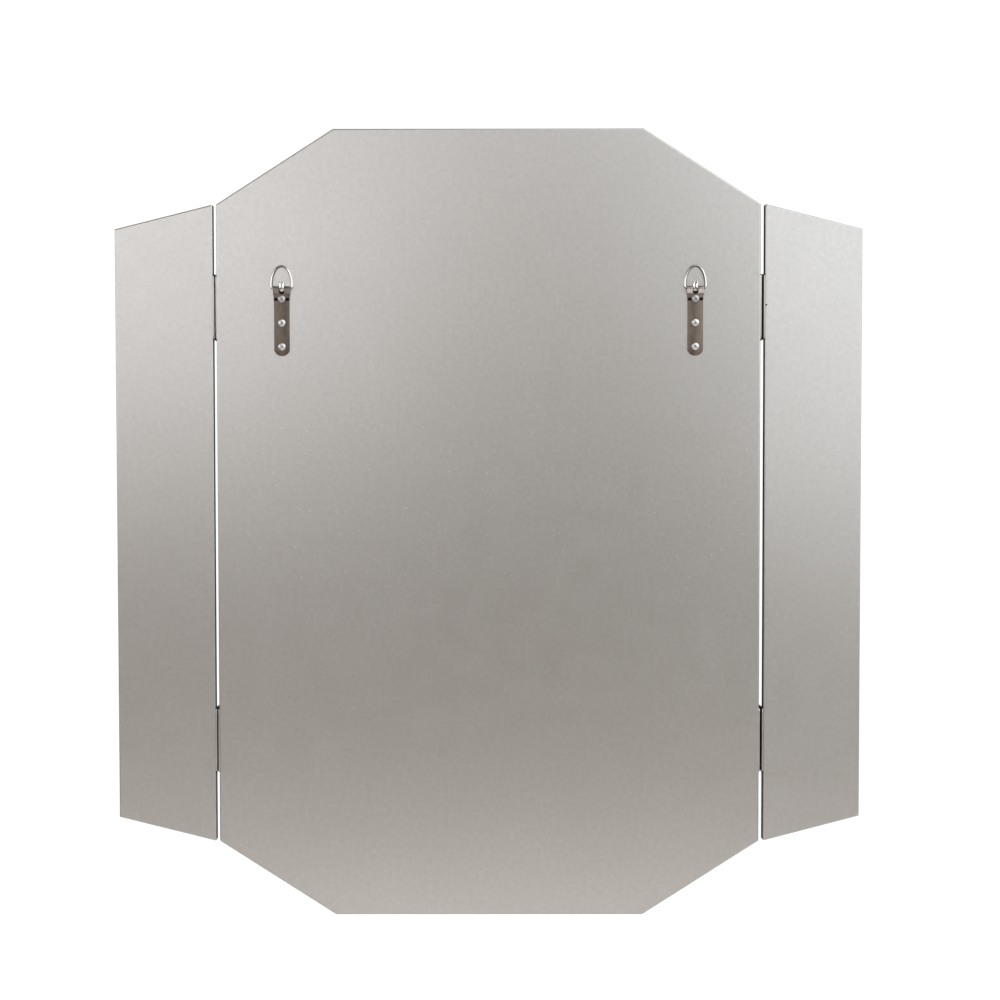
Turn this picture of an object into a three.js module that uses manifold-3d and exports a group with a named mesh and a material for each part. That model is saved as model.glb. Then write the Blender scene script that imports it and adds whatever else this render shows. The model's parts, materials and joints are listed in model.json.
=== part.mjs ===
// Tri-fold wall mirror: a wide centre panel with cut corners and two narrow folding wings.
// Millimetres, +Z up. The mirror's front faces -Y and its painted back lies in the plane Y = 0.
// The origin is the point it hangs from: the back plane, on the symmetry line, level with the
// inside top of the two D-rings. Left and right are those of a person facing the mirror.

import * as THREE from 'three';
import { mergeVertices } from 'three/addons/utils/BufferGeometryUtils.js';
import Module from 'manifold-3d';

const wasm = await Module();
wasm.setup();

// Clearance left between two pieces that touch.
const SEAM = 0.3;

// Panel outlines.
const PANEL_HEIGHT = 914.4;
const CENTRE_WIDTH = 629.6;
const CENTRE_TOP_WIDTH = 358.6;
const CORNER_DROP = 86.7;
const WING_WIDTH = 113.3;
const WING_DROP = 28.3;
const PANEL_GAP = 4;
const HANG_DEPTH = 159;

// Panel build-up, from the back face to the front.
const BOARD_THICKNESS = 12.5;
const BOARD_ROUNDING = 1.6;
const BOND_THICKNESS = 0.6;
const BOND_INSET = 16;
const MIRROR_THICKNESS = 5;
const MIRROR_INSET = 1;
const BEVEL_WIDTH = 22;
const BEVEL_DEPTH = 1.6;

// Butt hinges. Their leaves are let into the edges of the boards.
const HINGE_LENGTH = 76.2;
const HINGE_FROM_SHOULDER = 118.3;
const HINGE_PROUD = 1.3;
const KNUCKLE_RADIUS = 2.45;
const LEAF_THICKNESS = 1.6;
const LEAF_BACK_MARGIN = 1.5;
const LEAF_CORNER = 4;
const KNUCKLE_COUNT = 5;
const PIN_RADIUS = 1;
const PIN_CAP_RADIUS = 2;
const PIN_CAP_TOP_RADIUS = 1.4;
const PIN_CAP_HEIGHT = 0.4;
const REST_FOLD_LEFT = THREE.MathUtils.degToRad(3);
const REST_FOLD_RIGHT = 0;

// Countersunk screws of the hinges.
const LEAF_SCREW_SPACING = 29;
const LEAF_SCREW_DEPTH = 6.5;
const LEAF_SCREW_LENGTH = 15;
const LEAF_SCREW_RADIUS = 1.4;
const LEAF_SCREW_HEAD_RADIUS = 3;
const LEAF_SCREW_PROUD = 0.3;
const LEAF_SCREW_POINT = 3;

// D-ring strap hangers. Heights are measured from the axis of the ring's bar.
const HANGER_SPREAD = 478.3;
const WIRE_RADIUS = 1.2;
const BAR_CLEARANCE = 0.35;
const STRAP_GAUGE = 1;
const STRAP_HALF_WIDTH = 8.9;
const LOOP_HALF_WIDTH = 9.8;
const STRAP_TAIL = 77.9;
const STRAP_TAIL_SAGITTA = 6.2;
const FLARE_DROP = 12;
const TONGUE_DROP = 13.4;
const TONGUE_HALF_END = 9;
const PLATE_OVERLAP = 0.2;
const LOOP_BLEND_DROP = 6.2;
const NOTCH_HALF_WIDTH = 3.3;
const NOTCH_DROP = 6.6;
const STRAP_SCREW_DROPS = [12.2, 39.7, 67.2];
const RING_HALF_WIDTH = 11.8;
const RING_SHOULDER = 4.7;
const RING_HEIGHT = 25.8;
const RING_CORNER = 2.6;
const PRONG_OFFSET = 1.7;
const PRONG_BEND = 1.6;
const PRONG_HEIGHT = 7.6;
const RING_LEAN = THREE.MathUtils.degToRad(3);

// Pan-head screws of the hangers.
const STRAP_SCREW_LENGTH = 11.5;
const STRAP_SCREW_RADIUS = 1.75;
const STRAP_SCREW_HEAD_RADIUS = 4.4;
const STRAP_SCREW_HEAD_HEIGHT = 2.2;
const STRAP_SCREW_RIM = 0.8;
const STRAP_SCREW_POINT = 2.5;

// Cross recess of a screw head, as fractions of the head's radius.
const RECESS_REACH = 0.56;
const RECESS_WIDTH = 0.24;
const RECESS_DEPTH = 1.1;
const TURN_STEP = 0.7;

// Facets round a circle, pieces of each arc in an outline, and stations along the ring's wire.
const SCREW_SIDES = 10;
const KNUCKLE_SIDES = 14;
const ARC_PIECES = 4;
const WIRE_STEPS = 60;

// Values worked out from the dimensions above.
const PANEL_TOP = HANG_DEPTH;
const PANEL_BOTTOM = PANEL_TOP - PANEL_HEIGHT;
const SHOULDER_TOP = PANEL_TOP - CORNER_DROP;
const SHOULDER_BOTTOM = PANEL_BOTTOM + CORNER_DROP;
const BOND_BACK = -BOARD_THICKNESS - SEAM;
const MIRROR_BACK = BOND_BACK - BOND_THICKNESS - SEAM;
const HINGE_Y = MIRROR_BACK - MIRROR_THICKNESS - HINGE_PROUD;
const HINGE_X = CENTRE_WIDTH / 2 + PANEL_GAP / 2;
const LEAF_INNER = KNUCKLE_RADIUS - LEAF_THICKNESS;
const MORTISE_DEPTH = KNUCKLE_RADIUS + SEAM - PANEL_GAP / 2;
const KNUCKLE_PITCH = HINGE_LENGTH / KNUCKLE_COUNT;
const PIN_BORE = PIN_RADIUS + SEAM;
const LOOP_BORE = WIRE_RADIUS + BAR_CLEARANCE;
const LOOP_RADIUS = LOOP_BORE + STRAP_GAUGE;
const BAR_Y = SEAM + LOOP_RADIUS;
const BAR_Z = WIRE_RADIUS - RING_HEIGHT;
const STRAP_FACE = SEAM + STRAP_GAUGE;
const TONGUE_FACE = STRAP_FACE + STRAP_GAUGE;
const QUARTER = Math.PI / 2;

// Finishes.
const FINISHES = {
  silverPaint: { color: 0xb9b5ae, roughness: 0.45, metalness: 0.55 },
  bond: { color: 0x8f8a80, roughness: 0.9, metalness: 0 },
  mirror: { color: 0xe6eaec, roughness: 0.03, metalness: 1 },
  hingeSteel: { color: 0x6d6459, roughness: 0.4, metalness: 0.9 },
  strapSteel: { color: 0x6e6761, roughness: 0.42, metalness: 0.9 },
  brightSteel: { color: 0xd9dadb, roughness: 0.2, metalness: 1 },
};

// --- Solids -------------------------------------------------------------------------------

// The boolean library's solid of a closed three.js geometry.
function solidOf(geometry) {
  const bare = geometry.clone();
  bare.deleteAttribute('normal');
  bare.deleteAttribute('uv');
  const merged = mergeVertices(bare);
  const corners = [];
  for (let i = 0; i < merged.index.count; i += 3) {
    const [a, b, c] = [0, 1, 2].map((k) => merged.index.getX(i + k));
    const flat = a === b || b === c || c === a;
    if (!flat) corners.push(a, b, c);
  }
  const vertProperties = new Float32Array(merged.attributes.position.array);
  const triVerts = new Uint32Array(corners);
  return new wasm.Manifold(new wasm.Mesh({ numProp: 3, vertProperties, triVerts }));
}

// The three.js geometry of a solid.
function geometryOf(solid) {
  const { vertProperties, triVerts } = solid.getMesh();
  const geometry = new THREE.BufferGeometry();
  geometry.setAttribute('position', new THREE.BufferAttribute(vertProperties, 3));
  geometry.setIndex(new THREE.BufferAttribute(triVerts, 1));
  return geometry;
}

// The first geometry joined with the others.
function join(first, ...others) {
  return geometryOf(others.reduce((solid, other) => solid.add(solidOf(other)), solidOf(first)));
}

// The first geometry with the others cut away.
function cut(first, ...others) {
  return geometryOf(others.reduce((solid, other) => solid.subtract(solidOf(other)), solidOf(first)));
}

// A box between two corners.
function boxBetween(low, high) {
  const size = high.map((value, axis) => value - low[axis]);
  const middle = high.map((value, axis) => (value + low[axis]) / 2);
  return new THREE.BoxGeometry(...size).translate(...middle);
}

// A cylinder along X, Y or Z from one station on that axis to another.
function rod(axis, radius, from, to, sides) {
  const geometry = new THREE.CylinderGeometry(radius, radius, to - from, sides);
  geometry.translate(0, (from + to) / 2, 0);
  if (axis === 'x') geometry.rotateZ(-QUARTER);
  if (axis === 'z') geometry.rotateX(QUARTER);
  return geometry;
}

// A shape drawn in X and Z, extruded from the plane Y = back towards -Y.
function plateBehind(shape, back, thickness) {
  const options = { depth: thickness, bevelEnabled: false, curveSegments: ARC_PIECES };
  return new THREE.ExtrudeGeometry(shape, options).rotateX(QUARTER).translate(0, back, 0);
}

// A shape drawn in Y and Z, extruded along X between two stations.
function plateAcross(shape, from, to) {
  const options = { depth: to - from, bevelEnabled: false, curveSegments: ARC_PIECES };
  const geometry = new THREE.ExtrudeGeometry(shape, options);
  return geometry.rotateX(QUARTER).rotateZ(QUARTER).translate(from, 0, 0);
}

// --- Panels -------------------------------------------------------------------------------

// The centre panel's outline in X and Z: a tall octagon.
function centreOutline() {
  const half = CENTRE_WIDTH / 2;
  const topHalf = CENTRE_TOP_WIDTH / 2;
  return [
    [-topHalf, PANEL_BOTTOM], [topHalf, PANEL_BOTTOM],
    [half, SHOULDER_BOTTOM], [half, SHOULDER_TOP],
    [topHalf, PANEL_TOP], [-topHalf, PANEL_TOP],
    [-half, SHOULDER_TOP], [-half, SHOULDER_BOTTOM],
  ].map(([x, z]) => new THREE.Vector2(x, z));
}

// A wing's outline, flat in line with the centre panel; side is +1 right, -1 left.
function wingOutline(side) {
  const inner = HINGE_X + PANEL_GAP / 2;
  const outer = inner + WING_WIDTH;
  const corners = [
    [inner, SHOULDER_BOTTOM], [outer, SHOULDER_BOTTOM + WING_DROP],
    [outer, SHOULDER_TOP - WING_DROP], [inner, SHOULDER_TOP],
  ].map(([x, z]) => new THREE.Vector2(side * x, z));
  return side > 0 ? corners : corners.reverse();
}

// A counter-clockwise outline moved inwards by the same distance all round.
function inset(outline, distance) {
  return outline.map((corner, i) => {
    const before = outline[(i + outline.length - 1) % outline.length];
    const after = outline[(i + 1) % outline.length];
    const arriving = corner.clone().sub(before).normalize();
    const leaving = after.clone().sub(corner).normalize();
    const along = leaving.clone().sub(arriving);
    const sine = arriving.cross(leaving);
    return corner.clone().addScaledVector(along, distance / sine);
  });
}

// A slab of an outline whose back edge (or front edge) is bevelled; segments above 1 round it.
function bevelledSlab(outline, back, thickness, bevel) {
  const length = thickness * 2;
  const geometry = new THREE.ExtrudeGeometry(new THREE.Shape(outline), {
    depth: length - 2 * bevel.depth,
    bevelThickness: bevel.depth,
    bevelSize: bevel.width,
    bevelOffset: -bevel.width,
    bevelSegments: bevel.segments,
  });
  const start = bevel.atBack ? 0 : thickness - length;
  geometry.translate(0, 0, bevel.depth + start).rotateX(QUARTER).translate(0, back, 0);
  const reach = PANEL_HEIGHT + CENTRE_WIDTH;
  const spare = bevel.atBack
    ? boxBetween([-reach, back - 2 * length, -reach], [reach, back - thickness, reach])
    : boxBetween([-reach, back, -reach], [reach, back + 2 * length, reach]);
  return cut(geometry, spare);
}

function boardGeometry(outline, cuts) {
  const bevel = { depth: BOARD_ROUNDING, width: BOARD_ROUNDING, segments: 3, atBack: true };
  return cut(bevelledSlab(outline, 0, BOARD_THICKNESS, bevel), ...cuts);
}

function bondGeometry(outline) {
  return plateBehind(new THREE.Shape(inset(outline, BOND_INSET)), BOND_BACK, BOND_THICKNESS);
}

function mirrorGeometry(outline) {
  const bevel = { depth: BEVEL_DEPTH, width: BEVEL_WIDTH, segments: 1, atBack: false };
  return bevelledSlab(inset(outline, MIRROR_INSET), MIRROR_BACK, MIRROR_THICKNESS, bevel);
}

// --- Screws -------------------------------------------------------------------------------

// A screw turned about the Y axis with its head towards +Y and a cross recess cut into it.
function screwGeometry(profile, headRadius, headTop, turn) {
  const points = profile.map(([radius, height]) => new THREE.Vector2(radius, height));
  const body = new THREE.LatheGeometry(points, SCREW_SIDES);
  const reach = headRadius * RECESS_REACH;
  const half = headRadius * RECESS_WIDTH / 2;
  const floor = headTop - RECESS_DEPTH;
  const slot = boxBetween([-reach, floor, -half], [reach, headTop + RECESS_DEPTH, half]);
  const crossSlot = slot.clone().rotateY(QUARTER);
  return cut(body, slot, crossSlot).rotateY(turn);
}

// A countersunk wood screw; the plane Y = 0 is the face of the leaf it holds.
function leafScrewGeometry(turn) {
  const coneDepth = LEAF_SCREW_HEAD_RADIUS - LEAF_SCREW_RADIUS;
  const profile = [
    [0, -LEAF_SCREW_LENGTH],
    [LEAF_SCREW_RADIUS, LEAF_SCREW_POINT - LEAF_SCREW_LENGTH],
    [LEAF_SCREW_RADIUS, -coneDepth],
    [LEAF_SCREW_HEAD_RADIUS, 0],
    [LEAF_SCREW_HEAD_RADIUS, LEAF_SCREW_PROUD],
    [0, LEAF_SCREW_PROUD],
  ];
  return screwGeometry(profile, LEAF_SCREW_HEAD_RADIUS, LEAF_SCREW_PROUD, turn);
}

// A pan-head wood screw; the plane Y = 0 is the underside of its head.
function strapScrewGeometry(turn) {
  const shoulder = STRAP_SCREW_HEAD_RADIUS * Math.cos(Math.PI / 4);
  const rise = (STRAP_SCREW_HEAD_HEIGHT - STRAP_SCREW_RIM) * Math.sin(Math.PI / 4);
  const profile = [
    [0, -STRAP_SCREW_LENGTH],
    [STRAP_SCREW_RADIUS, STRAP_SCREW_POINT - STRAP_SCREW_LENGTH],
    [STRAP_SCREW_RADIUS, 0],
    [STRAP_SCREW_HEAD_RADIUS, 0],
    [STRAP_SCREW_HEAD_RADIUS, STRAP_SCREW_RIM],
    [shoulder, STRAP_SCREW_RIM + rise],
    [0, STRAP_SCREW_HEAD_HEIGHT],
  ];
  return screwGeometry(profile, STRAP_SCREW_HEAD_RADIUS, STRAP_SCREW_HEAD_HEIGHT, turn);
}

// --- Hinges -------------------------------------------------------------------------------

// Heights of the upper and lower hinge's middle.
const HINGE_HEIGHTS = {
  upper: SHOULDER_TOP - HINGE_FROM_SHOULDER,
  lower: SHOULDER_BOTTOM + HINGE_FROM_SHOULDER,
};

const LEAF_SCREW_HEIGHTS = [LEAF_SCREW_SPACING, 0, -LEAF_SCREW_SPACING];

// A hinge leaf about the pin's axis, on the side of the pin that X * side says. The plate
// reaches back from the barrel along the board's edge. Knuckles are counted from the top, and
// this leaf carries every second one, from firstKnuckle on.
function leafGeometry(side, firstKnuckle) {
  const halfLength = HINGE_LENGTH / 2;
  const back = -HINGE_Y - LEAF_BACK_MARGIN;
  const outline = new THREE.Shape();
  outline.moveTo(0, -halfLength);
  outline.lineTo(back - LEAF_CORNER, -halfLength);
  outline.absarc(back - LEAF_CORNER, LEAF_CORNER - halfLength, LEAF_CORNER, -QUARTER, 0);
  outline.absarc(back - LEAF_CORNER, halfLength - LEAF_CORNER, LEAF_CORNER, 0, QUARTER);
  outline.lineTo(0, halfLength);
  const stations = [side * LEAF_INNER, side * KNUCKLE_RADIUS].sort((a, b) => a - b);
  const joined = [];
  const removed = [rod('z', PIN_BORE, -HINGE_LENGTH, HINGE_LENGTH, KNUCKLE_SIDES)];
  for (let i = 0; i < KNUCKLE_COUNT; i += 1) {
    const top = halfLength - i * KNUCKLE_PITCH;
    const bottom = top - KNUCKLE_PITCH;
    if (i % 2 === firstKnuckle) {
      const upperTrim = i === 0 ? 0 : SEAM / 2;
      const lowerTrim = i === KNUCKLE_COUNT - 1 ? 0 : SEAM / 2;
      const knuckle = [bottom + lowerTrim, top - upperTrim];
      joined.push(rod('z', KNUCKLE_RADIUS, ...knuckle, KNUCKLE_SIDES));
    } else {
      const relief = KNUCKLE_RADIUS + SEAM;
      const low = [-relief, -relief, bottom - SEAM / 2];
      removed.push(boxBetween(low, [relief, relief, top + SEAM / 2]));
    }
  }
  for (const height of LEAF_SCREW_HEIGHTS) {
    removed.push(countersink(side).translate(0, -HINGE_Y - LEAF_SCREW_DEPTH, height));
  }
  return cut(join(plateAcross(outline, ...stations), ...joined), ...removed);
}

// The hole and countersink for one screw, opening towards the pin's axis from the given side.
function countersink(side) {
  const hole = LEAF_SCREW_RADIUS + SEAM;
  const mouth = LEAF_SCREW_HEAD_RADIUS + SEAM;
  const points = [
    [0, -LEAF_THICKNESS - 1], [hole, -LEAF_THICKNESS - 1], [hole, hole - mouth],
    [mouth, 0], [mouth, LEAF_INNER], [0, LEAF_INNER],
  ].map(([radius, height]) => new THREE.Vector2(radius, height));
  const geometry = new THREE.LatheGeometry(points, SCREW_SIDES);
  return geometry.rotateZ(side * QUARTER).translate(side * LEAF_INNER, 0, 0);
}

function pinGeometry() {
  const end = HINGE_LENGTH / 2 + SEAM;
  const dome = end + PIN_CAP_HEIGHT;
  const profile = [
    [0, -dome], [PIN_CAP_TOP_RADIUS, -dome], [PIN_CAP_RADIUS, -end], [PIN_RADIUS, -end],
    [PIN_RADIUS, end], [PIN_CAP_RADIUS, end], [PIN_CAP_TOP_RADIUS, dome], [0, dome],
  ].map(([radius, height]) => new THREE.Vector2(radius, height));
  return new THREE.LatheGeometry(profile, SCREW_SIDES).rotateX(QUARTER);
}

// Mortises for the leaves and pilot holes for their screws in one board edge; side is the
// hinge's side, face +1 for the centre board's edge and -1 for the wing's.
function hingeCuts(side, face) {
  const edge = side * (HINGE_X - face * PANEL_GAP / 2);
  const inwards = -side * face;
  const holeDepth = LEAF_INNER + LEAF_SCREW_LENGTH + SEAM - PANEL_GAP / 2;
  const halfMortise = HINGE_LENGTH / 2 + SEAM;
  const between = (depth) => [edge + inwards * depth, edge - inwards].sort((a, b) => a - b);
  const cuts = [];
  for (const middle of Object.values(HINGE_HEIGHTS)) {
    const [left, right] = between(MORTISE_DEPTH);
    const low = [left, -2 * BOARD_THICKNESS, middle - halfMortise];
    cuts.push(boxBetween(low, [right, BOARD_THICKNESS, middle + halfMortise]));
    for (const height of LEAF_SCREW_HEIGHTS) {
      const hole = rod('x', LEAF_SCREW_RADIUS + SEAM, ...between(holeDepth), SCREW_SIDES);
      cuts.push(hole.translate(0, -LEAF_SCREW_DEPTH, middle + height));
    }
  }
  return cuts;
}

// --- Hangers ------------------------------------------------------------------------------

// The bent strip that holds a D-ring: tail, folded tongue and two loops round the ring's bar.
// Its frame has the bar's axis at Z = 0 and the board's back face at Y = 0.
function strapGeometry() {
  const tailEnd = -STRAP_TAIL;
  const arcStart = tailEnd + STRAP_TAIL_SAGITTA;
  const arcRadius = (STRAP_HALF_WIDTH ** 2 + STRAP_TAIL_SAGITTA ** 2) / (2 * STRAP_TAIL_SAGITTA);
  const arcAngle = Math.asin(STRAP_HALF_WIDTH / arcRadius);
  const tail = new THREE.Shape();
  tail.moveTo(LOOP_HALF_WIDTH, 0);
  tail.lineTo(-LOOP_HALF_WIDTH, 0);
  tail.lineTo(-STRAP_HALF_WIDTH, -FLARE_DROP);
  tail.lineTo(-STRAP_HALF_WIDTH, arcStart);
  tail.absarc(0, tailEnd + arcRadius, arcRadius, -QUARTER - arcAngle, arcAngle - QUARTER);
  tail.lineTo(STRAP_HALF_WIDTH, -FLARE_DROP);
  const tongueTop = PLATE_OVERLAP - LOOP_BLEND_DROP;
  const tongue = new THREE.Shape([
    [LOOP_HALF_WIDTH, tongueTop], [-LOOP_HALF_WIDTH, tongueTop],
    [-TONGUE_HALF_END, -TONGUE_DROP], [TONGUE_HALF_END, -TONGUE_DROP],
  ].map(([x, z]) => new THREE.Vector2(x, z)));
  const loops = rod('x', LOOP_RADIUS, -LOOP_HALF_WIDTH, LOOP_HALF_WIDTH, KNUCKLE_SIDES);
  const joined = [
    plateBehind(tongue, TONGUE_FACE, STRAP_GAUGE + PLATE_OVERLAP),
    loopBlend(),
    loops.translate(0, BAR_Y, 0),
  ];
  const bore = rod('x', LOOP_BORE, -2 * LOOP_HALF_WIDTH, 2 * LOOP_HALF_WIDTH, SCREW_SIDES);
  const removed = [notch(), bore.translate(0, BAR_Y, 0)];
  for (const drop of STRAP_SCREW_DROPS) {
    const hole = rod('y', STRAP_SCREW_RADIUS + SEAM, -1, 2 * TONGUE_FACE, SCREW_SIDES);
    removed.push(hole.translate(0, 0, -drop));
  }
  return cut(join(plateBehind(tail, STRAP_FACE, STRAP_GAUGE), ...joined), ...removed);
}

// The strip's slope from the outside of the loop down to the tongue, drawn in Y and Z: it leaves
// the loop along a tangent.
function loopBlend() {
  const foot = new THREE.Vector2(TONGUE_FACE, -LOOP_BLEND_DROP);
  const toBar = new THREE.Vector2(BAR_Y, 0).sub(foot);
  const turn = -Math.asin(LOOP_RADIUS / toBar.length());
  const reach = Math.sqrt(toBar.lengthSq() - LOOP_RADIUS ** 2);
  const touch = toBar.clone().normalize().rotateAround(new THREE.Vector2(), turn);
  touch.multiplyScalar(reach).add(foot);
  const section = new THREE.Shape([
    new THREE.Vector2(SEAM, 0), new THREE.Vector2(SEAM, -LOOP_BLEND_DROP), foot, touch,
    new THREE.Vector2(BAR_Y, 0),
  ]);
  return plateAcross(section, -LOOP_HALF_WIDTH, LOOP_HALF_WIDTH);
}

// The slot with a round end that parts the two loops.
function notch() {
  const depth = NOTCH_DROP - NOTCH_HALF_WIDTH;
  const outline = new THREE.Shape();
  outline.moveTo(NOTCH_HALF_WIDTH, 2 * LOOP_RADIUS);
  outline.lineTo(-NOTCH_HALF_WIDTH, 2 * LOOP_RADIUS);
  outline.lineTo(-NOTCH_HALF_WIDTH, -depth);
  outline.absarc(0, -depth, NOTCH_HALF_WIDTH, Math.PI, 2 * Math.PI);
  return plateBehind(outline, 4 * LOOP_RADIUS, 6 * LOOP_RADIUS);
}

// The ring's wire runs in one plane. This curve lays a flat path in X and Z.
class WireCurve extends THREE.Curve {
  constructor(path) {
    super();
    this.path = path;
  }

  getPoint(t, target = new THREE.Vector3()) {
    const { x, y } = this.path.getPoint(t);
    return target.set(x, 0, y);
  }
}

// One D-ring about its bar: prong, bar, corner, side, arch and back down to the other prong.
function ringGeometry() {
  const bend = PRONG_OFFSET + PRONG_BEND;
  const corner = RING_HALF_WIDTH - RING_CORNER;
  const path = new THREE.Path();
  path.moveTo(PRONG_OFFSET, PRONG_HEIGHT);
  path.lineTo(PRONG_OFFSET, PRONG_BEND);
  path.absarc(bend, PRONG_BEND, PRONG_BEND, Math.PI, 3 * QUARTER);
  path.lineTo(corner, 0);
  path.absarc(corner, RING_CORNER, RING_CORNER, -QUARTER, 0);
  path.lineTo(RING_HALF_WIDTH, RING_SHOULDER);
  path.absellipse(0, RING_SHOULDER, RING_HALF_WIDTH, RING_HEIGHT - RING_SHOULDER, 0, Math.PI);
  path.lineTo(-RING_HALF_WIDTH, RING_CORNER);
  path.absarc(-corner, RING_CORNER, RING_CORNER, Math.PI, 3 * QUARTER);
  path.lineTo(-bend, 0);
  path.absarc(-bend, PRONG_BEND, PRONG_BEND, -QUARTER, 0);
  path.lineTo(-PRONG_OFFSET, PRONG_HEIGHT);
  const section = new THREE.Shape().absarc(0, 0, WIRE_RADIUS, 0, 2 * Math.PI);
  return new THREE.ExtrudeGeometry(section, {
    steps: WIRE_STEPS,
    curveSegments: ARC_PIECES,
    extrudePath: new WireCurve(path),
  });
}

// Pilot holes in the centre board's back for both hangers.
function strapPilots() {
  const depth = STRAP_SCREW_LENGTH - STRAP_GAUGE;
  const pilots = [];
  for (const side of [-1, 1]) {
    for (const drop of STRAP_SCREW_DROPS) {
      const hole = rod('y', STRAP_SCREW_RADIUS + SEAM, -depth, 1, SCREW_SIDES);
      pilots.push(hole.translate(side * HANGER_SPREAD / 2, 0, BAR_Z - drop));
    }
  }
  return pilots;
}

// --- Assembly -----------------------------------------------------------------------------

const mirror = new THREE.Group();

function addPiece(parent, name, geometry, finish) {
  const mesh = new THREE.Mesh(geometry, new THREE.MeshStandardMaterial(FINISHES[finish]));
  mesh.name = name;
  parent.add(mesh);
  return mesh;
}

function addPanel(parent, name, outline, cuts) {
  addPiece(parent, `${name}_board`, boardGeometry(outline, cuts), 'silverPaint');
  addPiece(parent, `${name}_bond`, bondGeometry(outline), 'bond');
  addPiece(parent, `${name}_mirror`, mirrorGeometry(outline), 'mirror');
}

// A leaf and its screws; face is +1 on the centre board's edge and -1 on the wing's.
function addLeaf(parent, name, side, height, face) {
  const axisX = side * HINGE_X;
  const leafSide = -side * face;
  const leaf = addPiece(parent, `${name}_leaf`, leafGeometry(leafSide, face > 0 ? 0 : 1), 'hingeSteel');
  leaf.position.set(axisX, HINGE_Y, height);
  LEAF_SCREW_HEIGHTS.forEach((offset, i) => {
    const screw = addPiece(parent, `${name}_screw_${i + 1}`, leafScrewGeometry(i * TURN_STEP), 'hingeSteel');
    screw.position.set(axisX + leafSide * LEAF_INNER, -LEAF_SCREW_DEPTH, height + offset);
    screw.rotation.z = leafSide * QUARTER;
  });
}

// A wing that turns about its hinge pins. Its pieces are placed as if it lay flat.
function addWing(name, side, fold) {
  const turned = new THREE.Group();
  turned.position.set(side * HINGE_X, HINGE_Y, 0);
  turned.rotation.z = -side * fold;
  const flat = new THREE.Group();
  flat.position.copy(turned.position).negate();
  turned.add(flat);
  mirror.add(turned);
  addPanel(flat, `${name}_wing`, wingOutline(side), hingeCuts(side, -1));
  for (const [level, height] of Object.entries(HINGE_HEIGHTS)) {
    const hinge = `${name}_${level}_hinge`;
    addLeaf(mirror, `${hinge}_centre`, side, height, 1);
    addLeaf(flat, `${hinge}_wing`, side, height, -1);
    const pin = addPiece(mirror, `${hinge}_pin`, pinGeometry(), 'hingeSteel');
    pin.position.set(side * HINGE_X, HINGE_Y, height);
  }
}

function addHanger(name, side) {
  const x = side * HANGER_SPREAD / 2;
  const strap = addPiece(mirror, `${name}_hanger_strap`, strapGeometry(), 'strapSteel');
  strap.position.set(x, 0, BAR_Z);
  const ring = addPiece(mirror, `${name}_hanger_ring`, ringGeometry(), 'brightSteel');
  ring.position.set(x, BAR_Y, BAR_Z);
  ring.rotation.x = RING_LEAN;
  STRAP_SCREW_DROPS.forEach((drop, i) => {
    const seat = (i === 0 ? TONGUE_FACE : STRAP_FACE) + SEAM;
    const geometry = strapScrewGeometry((i + side) * TURN_STEP);
    const screw = addPiece(mirror, `${name}_hanger_screw_${i + 1}`, geometry, 'brightSteel');
    screw.position.set(x, seat, BAR_Z - drop);
  });
}

addPanel(mirror, 'centre', centreOutline(), [...hingeCuts(-1, 1), ...hingeCuts(1, 1), ...strapPilots()]);
addWing('left', -1, REST_FOLD_LEFT);
addWing('right', 1, REST_FOLD_RIGHT);
addHanger('left', -1);
addHanger('right', 1);

export default mirror;
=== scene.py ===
# The finished looks of a tri-fold wall mirror, seen from its painted back.
# Metres, +Z up. The painted backs face +Y and the mirror glasses face -Y.
import json
import math

import bmesh
import bpy
from mathutils import Matrix, Vector

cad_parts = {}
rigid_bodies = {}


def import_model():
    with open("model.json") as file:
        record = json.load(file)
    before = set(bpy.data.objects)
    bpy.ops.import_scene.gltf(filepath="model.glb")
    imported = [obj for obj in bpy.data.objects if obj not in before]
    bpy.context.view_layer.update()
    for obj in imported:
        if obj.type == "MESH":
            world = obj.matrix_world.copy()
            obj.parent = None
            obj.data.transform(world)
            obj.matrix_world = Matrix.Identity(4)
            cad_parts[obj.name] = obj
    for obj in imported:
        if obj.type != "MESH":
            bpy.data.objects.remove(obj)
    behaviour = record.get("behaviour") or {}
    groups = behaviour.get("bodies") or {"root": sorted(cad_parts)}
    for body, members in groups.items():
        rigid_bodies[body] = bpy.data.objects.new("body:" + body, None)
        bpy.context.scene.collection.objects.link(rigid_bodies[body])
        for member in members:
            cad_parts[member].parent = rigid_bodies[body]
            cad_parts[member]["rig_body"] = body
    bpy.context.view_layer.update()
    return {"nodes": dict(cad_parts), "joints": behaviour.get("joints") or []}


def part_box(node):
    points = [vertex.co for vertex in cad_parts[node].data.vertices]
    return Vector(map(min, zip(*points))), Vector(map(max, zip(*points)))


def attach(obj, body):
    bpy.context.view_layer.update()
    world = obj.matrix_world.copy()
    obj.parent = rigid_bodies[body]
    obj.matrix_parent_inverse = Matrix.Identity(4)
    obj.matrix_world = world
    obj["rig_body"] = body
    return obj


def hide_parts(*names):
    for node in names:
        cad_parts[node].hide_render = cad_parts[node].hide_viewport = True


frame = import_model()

MM = 0.001

# Panels. What the frame doesn't hold: the cut corners and the section of each layer's edge.
CENTRE_TOP_WIDTH = 358.6 * MM
CORNER_DROP = 86.7 * MM
WING_DROP = 28.3 * MM
PLAN_ROUNDING = 1.5 * MM
BACK_ROUNDING = 1.6 * MM
FRONT_ARRIS = 0.5 * MM
GLASS_ARRIS = 0.4 * MM
GLASS_BEVEL_WIDTH = 22 * MM
GLASS_BEVEL_DEPTH = 1.6 * MM
GLASS_INSET = 1 * MM

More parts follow.
